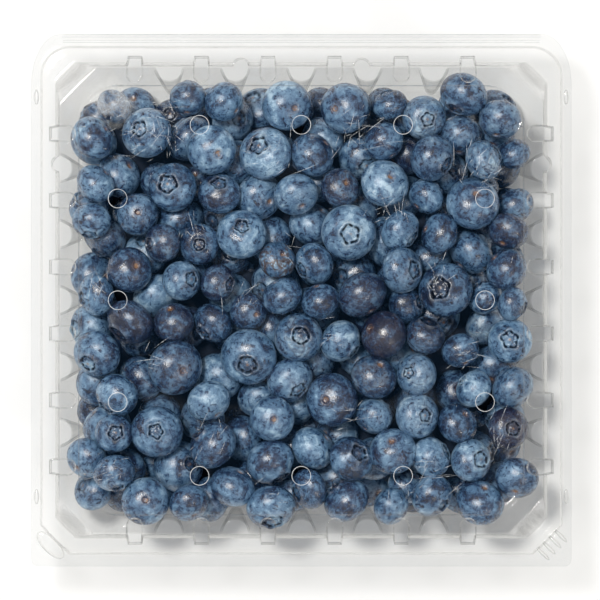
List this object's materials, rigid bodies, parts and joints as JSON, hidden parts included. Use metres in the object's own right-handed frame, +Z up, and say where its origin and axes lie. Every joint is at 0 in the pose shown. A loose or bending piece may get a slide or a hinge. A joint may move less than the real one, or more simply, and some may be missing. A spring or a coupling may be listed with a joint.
{
  "type": "punnet of blueberries",
  "caption": "Clear hinged clamshell pack, shut and filled with a heap of fresh blueberries, with vent holes, fluted walls and a lid that snaps shut.",
  "frame": {"origin": "middle of the underside of the tray", "axes": "+Z up, +Y towards the hinged back edge, +X to the right seen from the front with the thumb tabs"},
  "size_m": [0.186, 0.1832, 0.046],
  "materials": {
    "clear_tray": "clear, glossy",
    "clear_lid": "clear, glossy, finely scratched",
    "berry_skin": "matt bloom over a smooth dark skin"
  },
  "bodies": {
    "tray_body": {"tray": "clear_tray", "berry_heap": "berry_skin"},
    "lid_body": {"lid": "clear_lid"}
  },
  "joints": [
    {"name": "lid_hinge", "type": "hinge", "parent": "tray_body", "child": "lid_body", "pos_m": [0, 0.09175, 0.03315], "axis": [-1, 0, 0], "range_deg": [0, 180]}
  ]
}
